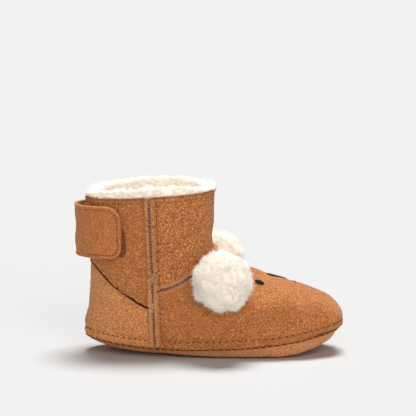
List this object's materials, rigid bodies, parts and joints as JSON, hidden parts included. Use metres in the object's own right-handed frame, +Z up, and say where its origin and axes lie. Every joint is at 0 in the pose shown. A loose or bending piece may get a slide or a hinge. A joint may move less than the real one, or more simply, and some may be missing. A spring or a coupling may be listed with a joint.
{
  "type": "baby bootie",
  "caption": "Soft suede baby bootie with fleece lining, an animal face with fluffy pom-pom ears, and a hook-and-loop ankle strap that opens the back.",
  "frame": {"origin": "centre of the bounding box's bottom face, on the ground under the sole", "axes": "+X from heel to toe, -Y to the lateral side where the strap closes, +Z up"},
  "size_m": [0.1352, 0.0864, 0.0863],
  "materials": {
    "tan_suede": "matte",
    "sole_suede": "matte",
    "strap_suede": "matte",
    "cream_fleece": "matte",
    "pompom_wool": "matte",
    "brown_thread": "matte",
    "black_thread": "satin",
    "hook_tape": "matte",
    "loop_patch": "matte"
  },
  "bodies": {
    "bootie": {"sole_panel": "sole_suede", "footbed_fleece": "cream_fleece", "vamp_panel": "tan_suede", "vamp_fleece": "cream_fleece", "heel_counter_panel": "tan_suede", "heel_counter_fleece": "cream_fleece", "shaft_front_panel": "tan_suede", "shaft_front_fleece": "cream_fleece", "ear_pompom_lateral": "pompom_wool", "ear_pompom_medial": "pompom_wool", "nose_patch": "black_thread", "eye_lateral": "black_thread", "eye_medial": "black_thread", "mouth_stitch": "black_thread", "sole_seam_thread": "brown_thread", "welt_stitch_row": "brown_thread", "side_seam_thread_lateral": "brown_thread", "side_seam_thread_medial": "brown_thread", "instep_seam_thread": "brown_thread", "collar_stitch_front": "brown_thread", "heel_edge_stitch": "brown_thread"},
    "lateral_flap": {"lateral_quarter_panel": "tan_suede", "lateral_quarter_fleece": "cream_fleece", "loop_patch": "loop_patch", "loop_patch_stitch": "brown_thread", "collar_stitch_lateral": "brown_thread"},
    "medial_flap": {"medial_quarter_panel": "tan_suede", "medial_quarter_fleece": "cream_fleece", "strap_anchor": "strap_suede", "strap_anchor_stitch": "brown_thread", "collar_stitch_medial": "brown_thread"},
    "strap_back": {"strap_back": "strap_suede"},
    "strap_tab": {"strap_tab": "strap_suede", "hook_tape": "hook_tape", "strap_tab_stitch": "brown_thread"}
  },
  "joints": [
    {"name": "lateral_flap_open", "type": "hinge", "parent": "bootie", "child": "lateral_flap", "pos_m": [-0.0284, -0.0242, 0.052], "axis": [-0.0397, 0, 0.9992], "range_deg": [0, 26]},
    {"name": "medial_flap_open", "type": "hinge", "parent": "bootie", "child": "medial_flap", "pos_m": [-0.0284, 0.0242, 0.052], "axis": [0.0397, 0, -0.9992], "range_deg": [0, 26]},
    {"name": "strap_swing", "type": "hinge", "parent": "medial_flap", "child": "strap_back", "pos_m": [-0.0595, 0.01875, 0.061], "axis": [0, 0, -1], "range_deg": [0, 100]},
    {"name": "strap_tab_peel", "type": "hinge", "parent": "strap_back", "child": "strap_tab", "pos_m": [-0.06275, -0.01595, 0.062], "axis": [0, 0, -1], "range_deg": [0, 80]}
  ],
  "couplings": [
    {"joint": "lateral_flap_open", "follows": "strap_swing", "ratio": 0.25},
    {"joint": "medial_flap_open", "follows": "strap_swing", "ratio": 0.25}
  ]
}
